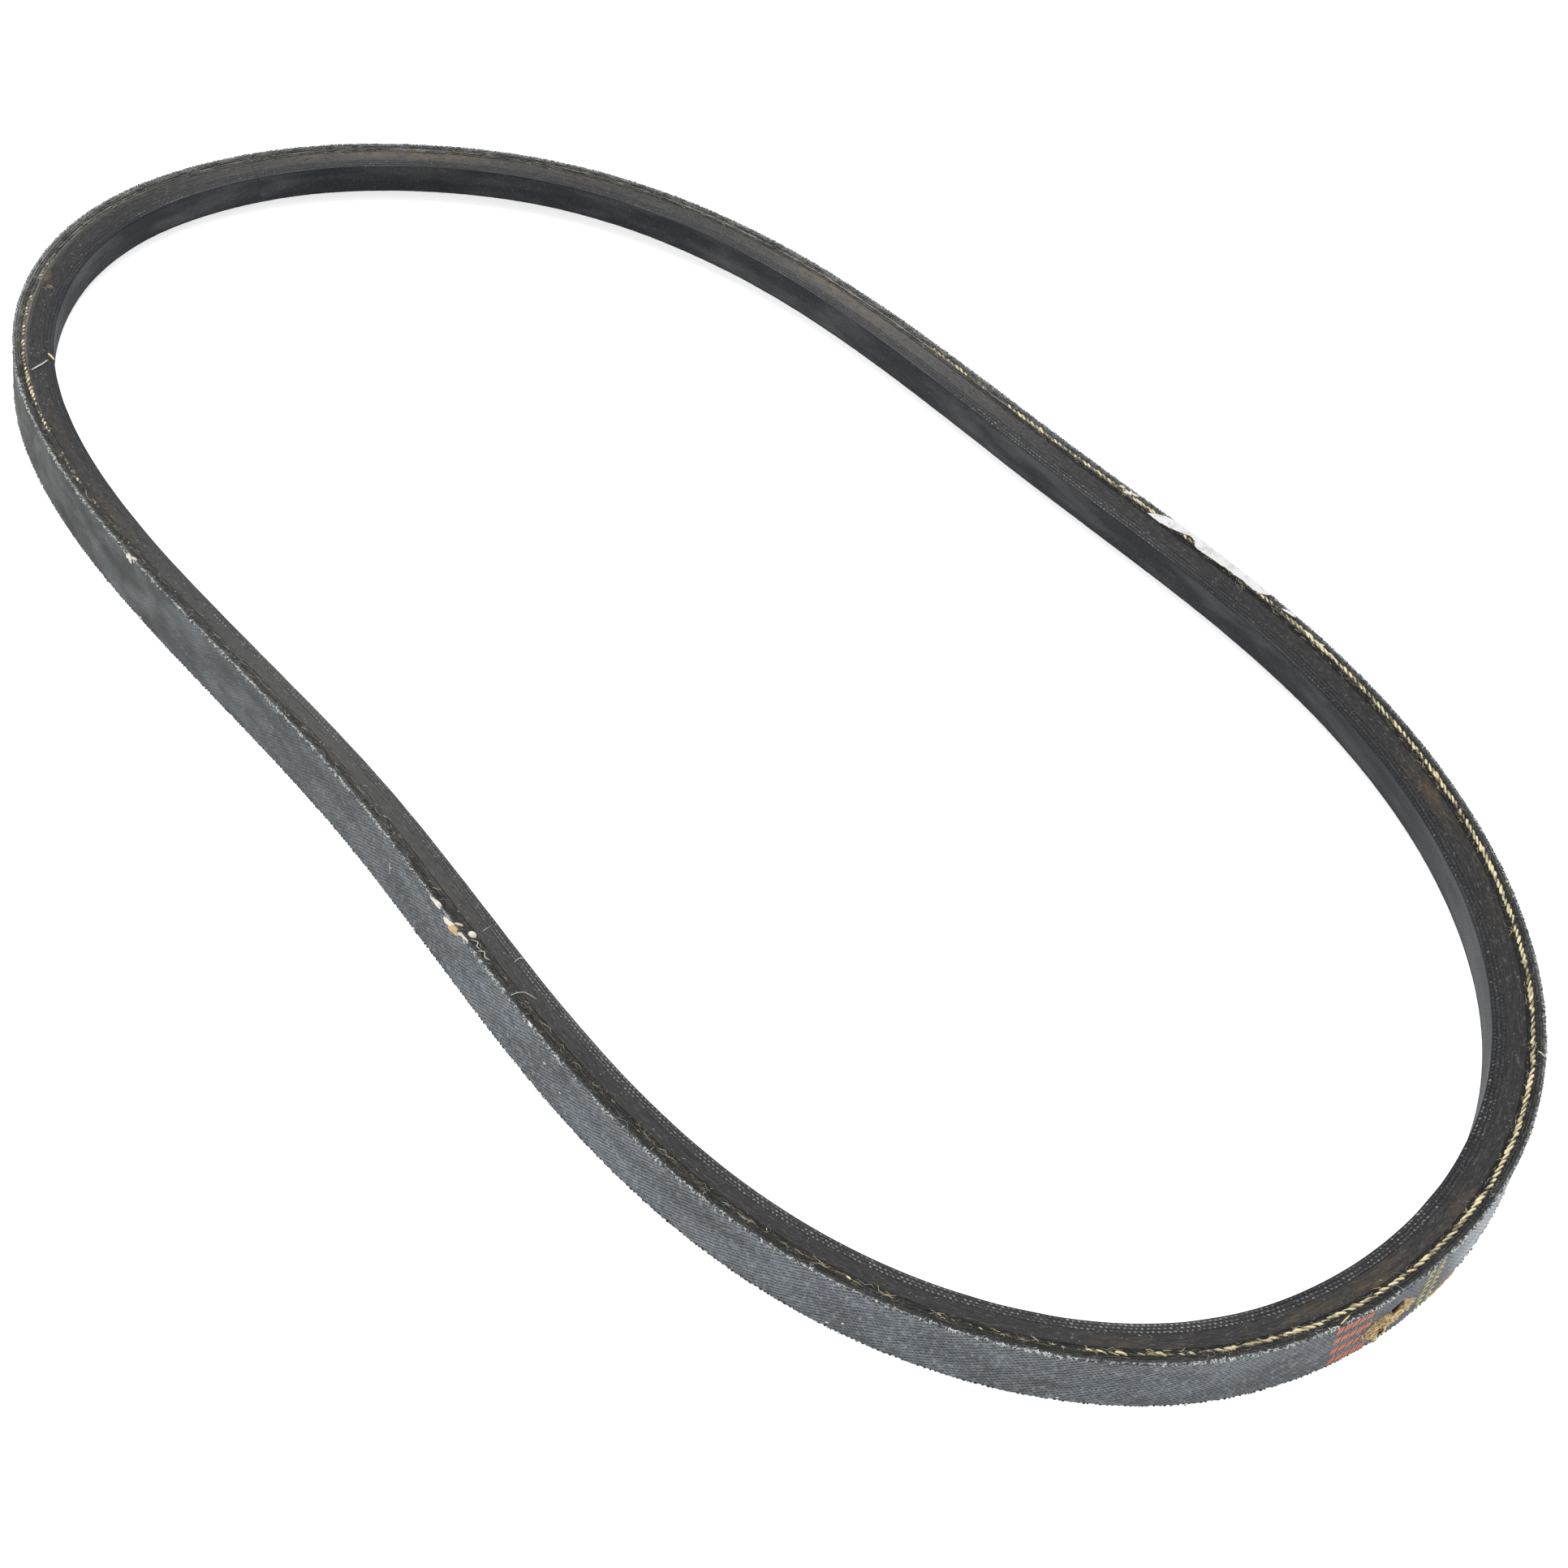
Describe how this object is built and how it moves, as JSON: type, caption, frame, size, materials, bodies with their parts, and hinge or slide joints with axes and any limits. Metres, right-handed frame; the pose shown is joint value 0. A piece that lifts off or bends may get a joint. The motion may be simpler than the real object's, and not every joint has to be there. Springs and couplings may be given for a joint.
{
  "type": "v belt",
  "caption": "Raw-edge laminated V-belt: an endless rubber and fabric belt of tapered section with a wound tensile cord, lying relaxed on its side.",
  "frame": {"origin": "middle of the relaxed loop's box, in the middle of the belt's width", "axes": "+X along the relaxed loop's long direction, +Z along the pulley shafts, out of the flank that shows when the belt lies on its side"},
  "size_m": [0.4576, 0.2208, 0.0131],
  "materials": {
    "cover_fabric": "worn woven cotton fabric rubbed with rubber",
    "gum_rubber": "matt cut rubber",
    "core_rubber": "polished by the pulleys, with brown dust",
    "cord": "twisted straw-coloured yarn",
    "base_fabric": "rubberised woven fabric",
    "paper": "torn matt paper"
  },
  "bodies": {
    "root": {"back_cover_outer_ply": "cover_fabric", "back_cover_inner_ply": "cover_fabric", "overcord_gum": "gum_rubber", "upper_cushion_gum": "gum_rubber", "tensile_cord": "cord", "edge_cord_top": "cord", "edge_cord_bottom": "cord", "lower_cushion_gum": "gum_rubber", "compression_rubber": "core_rubber", "base_ply_outer": "base_fabric", "base_ply_middle": "base_fabric", "base_ply_inner": "base_fabric", "paper_label_scraps": "paper"}
  },
  "joints": []
}
